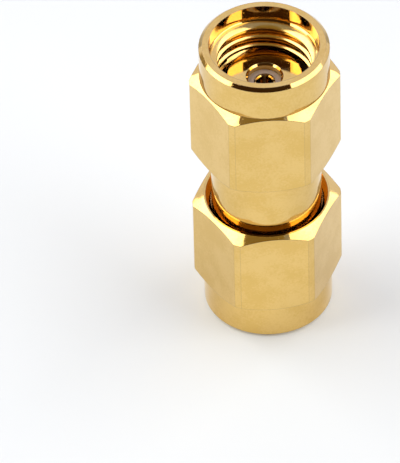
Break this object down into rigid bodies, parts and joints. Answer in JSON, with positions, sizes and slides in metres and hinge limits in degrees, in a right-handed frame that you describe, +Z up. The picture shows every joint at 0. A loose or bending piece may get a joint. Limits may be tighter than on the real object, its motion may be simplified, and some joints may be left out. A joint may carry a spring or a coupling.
{
  "type": "coaxial adapter",
  "caption": "Straight gold-plated coaxial adapter: a plain barrel with a free-turning hex coupling nut on each end and a recessed sleeve, insulator and centre socket in each mouth.",
  "frame": {"origin": "middle of the lower nut's rim, on the surface that the part stands on", "axes": "+Z up along the axis of the barrel, towards the upper nut; -Y towards the flat of each nut that faces the viewer"},
  "size_m": [0.009, 0.0084, 0.0208],
  "materials": {
    "gold_nut": "bright gold plate over turned brass",
    "gold_barrel": "bright gold plate over turned brass",
    "gold_contact": "gold plate over beryllium copper",
    "spring_bronze": "bare spring bronze",
    "silicone": "matt silicone rubber",
    "ptfe": "waxy white fluoropolymer"
  },
  "bodies": {
    "barrel": {"barrel": "gold_barrel", "upper_gasket": "silicone", "lower_gasket": "silicone", "upper_insulator": "ptfe", "lower_insulator": "ptfe", "centre_contact": "gold_contact"},
    "upper_ring": {"upper_snap_ring": "spring_bronze"},
    "lower_ring": {"lower_snap_ring": "spring_bronze"},
    "upper_nut": {"upper_nut": "gold_nut"},
    "lower_nut": {"lower_nut": "gold_nut"}
  },
  "joints": [
    {"name": "upper_float", "type": "slide", "parent": "barrel", "child": "upper_ring", "axis": [0, 0, 1], "range_m": [0, 0.0003]},
    {"name": "upper_spin", "type": "hinge", "parent": "upper_ring", "child": "upper_nut", "pos_m": [0, 0, 0.01653], "axis": [0, 0, 1], "continuous": true},
    {"name": "lower_float", "type": "slide", "parent": "barrel", "child": "lower_ring", "axis": [0, 0, -1], "range_m": [0, 0.0003]},
    {"name": "lower_spin", "type": "hinge", "parent": "lower_ring", "child": "lower_nut", "pos_m": [0, 0, 0.00422], "axis": [0, 0, -1], "continuous": true}
  ]
}
